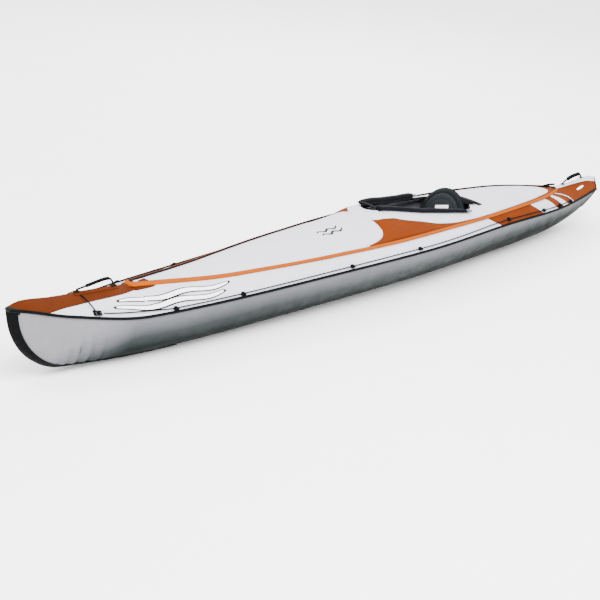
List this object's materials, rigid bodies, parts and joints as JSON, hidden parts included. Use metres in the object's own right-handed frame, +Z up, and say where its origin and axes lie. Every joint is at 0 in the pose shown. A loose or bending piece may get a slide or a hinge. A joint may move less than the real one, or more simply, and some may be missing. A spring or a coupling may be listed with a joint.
{
  "type": "inflatable kayak",
  "caption": "Long inflatable touring kayak with closed deck, padded cockpit rails, reclining seat back, carry handles, perimeter lines and air valves.",
  "frame": {"origin": "on the ground under the middle of the hull", "axes": "+X to the bow, +Y to port, +Z up"},
  "size_m": [4.5719, 0.6416, 0.4515],
  "materials": {
    "hull_grey": "coated fabric",
    "deck_white": "coated polyester",
    "deck_brown": "coated polyester",
    "rim_orange": "padded nylon",
    "rubber_black": "matt",
    "web_black": "woven webbing",
    "pad_black": "padded nylon",
    "seat_grey": "foam with fabric cover",
    "panel_grey": "moulded foam",
    "label_white": "blank",
    "chamber_grey": "coated fabric",
    "plastic_black": "moulded",
    "plastic_grey": "moulded",
    "steel": "satin"
  },
  "bodies": {
    "root": {"bow_cap": "plastic_black", "bow_cord_port": "web_black", "bow_cord_starboard": "web_black", "bow_deck": "deck_brown", "bow_handle_base": "rubber_black", "bow_strip": "rubber_black", "cockpit_hem": "web_black", "cockpit_rail_port": "pad_black", "cockpit_rail_starboard": "pad_black", "deck_cover": "deck_white", "dring_patch_port": "rubber_black", "dring_patch_starboard": "rubber_black", "floor_board": "chamber_grey", "floor_valve_body": "plastic_black", "foot_brace_track_port": "web_black", "foot_brace_track_starboard": "web_black", "grab_line_port": "web_black", "grab_line_starboard": "web_black", "gunwale_piping_port": "rubber_black", "gunwale_piping_starboard": "rubber_black", "hull_bottom": "hull_grey", "keel_line": "rubber_black", "port_valve_body": "plastic_black", "rail_buckle_port": "plastic_grey", "rail_buckle_starboard": "plastic_grey", "rail_strap": "web_black", "rear_strap": "web_black", "rear_strap_patch": "rubber_black", "rim_welt": "rim_orange", "seat_cushion": "seat_grey", "side_chamber_port": "chamber_grey", "side_chamber_starboard": "chamber_grey", "side_deck_port": "deck_white", "side_deck_starboard": "deck_white", "side_strap_port": "web_black", "side_strap_starboard": "web_black", "starboard_valve_body": "plastic_black", "stern_deck": "deck_brown", "stern_handle_base": "rubber_black", "stern_strap": "web_black", "stern_strip": "rubber_black", "strap_anchor_port": "rubber_black", "strap_anchor_starboard": "rubber_black"},
    "backrest": {"backrest_pad": "seat_grey", "backrest_panel": "panel_grey", "backrest_label": "label_white"},
    "bow_handle": {"bow_handle": "web_black"},
    "stern_handle": {"stern_handle": "web_black"},
    "dring_port": {"dring_port": "steel"},
    "dring_starboard": {"dring_starboard": "steel"},
    "foot_brace": {"foot_brace": "seat_grey"},
    "port_valve_pin": {"port_valve_pin": "plastic_grey"},
    "port_valve_cap": {"port_valve_cap": "plastic_black"},
    "starboard_valve_pin": {"starboard_valve_pin": "plastic_grey"},
    "starboard_valve_cap": {"starboard_valve_cap": "plastic_black"},
    "floor_valve_pin": {"floor_valve_pin": "plastic_grey"},
    "floor_valve_cap": {"floor_valve_cap": "plastic_black"}
  },
  "joints": [
    {"name": "backrest_recline", "type": "hinge", "parent": "root", "child": "backrest", "pos_m": [-0.73, 0, 0.165], "axis": [0, 1, 0], "range_deg": [0, 85]},
    {"name": "bow_handle_flop", "type": "hinge", "parent": "root", "child": "bow_handle", "pos_m": [1.893, 0, 0.37691], "axis": [-0.9975, 0, -0.0712], "range_deg": [-80, 80]},
    {"name": "stern_handle_flop", "type": "hinge", "parent": "root", "child": "stern_handle", "pos_m": [-1.945, 0, 0.27553], "axis": [-0.9975, 0, 0.0701], "range_deg": [-80, 80]},
    {"name": "dring_port_swing", "type": "hinge", "parent": "root", "child": "dring_port", "pos_m": [1.862, 0.12104, 0.29853], "axis": [0.9634, -0.2235, 0.1478], "range_deg": [0, 120]},
    {"name": "dring_starboard_swing", "type": "hinge", "parent": "root", "child": "dring_starboard", "pos_m": [1.862, -0.12104, 0.29853], "axis": [-0.9634, -0.2235, -0.1478], "range_deg": [0, 120]},
    {"name": "foot_brace_slide", "type": "slide", "parent": "root", "child": "foot_brace", "axis": [1, 0, 0], "range_m": [-0.12, 0.1]},
    {"name": "port_valve_press", "type": "slide", "parent": "root", "child": "port_valve_pin", "axis": [0, 1, 0], "range_m": [0, 0.003], "stiffness_N_per_m": 200, "springref_m": -0.002},
    {"name": "port_valve_cap_turn", "type": "hinge", "parent": "root", "child": "port_valve_cap", "pos_m": [-0.24, 0.17237, 0.215], "axis": [0, -1, 0], "range_deg": [0, 90]},
    {"name": "starboard_valve_press", "type": "slide", "parent": "root", "child": "starboard_valve_pin", "axis": [0, -1, 0], "range_m": [0, 0.003], "stiffness_N_per_m": 200, "springref_m": -0.002},
    {"name": "starboard_valve_cap_turn", "type": "hinge", "parent": "root", "child": "starboard_valve_cap", "pos_m": [-0.24, -0.17237, 0.215], "axis": [0, 1, 0], "range_deg": [0, 90]},
    {"name": "floor_valve_press", "type": "slide", "parent": "root", "child": "floor_valve_pin", "axis": [0, 0, -1], "range_m": [0, 0.003], "stiffness_N_per_m": 200, "springref_m": -0.002},
    {"name": "floor_valve_cap_turn", "type": "hinge", "parent": "root", "child": "floor_valve_cap", "pos_m": [-0.28, 0, 0.1105], "axis": [0, 0, 1], "range_deg": [0, 90]}
  ]
}
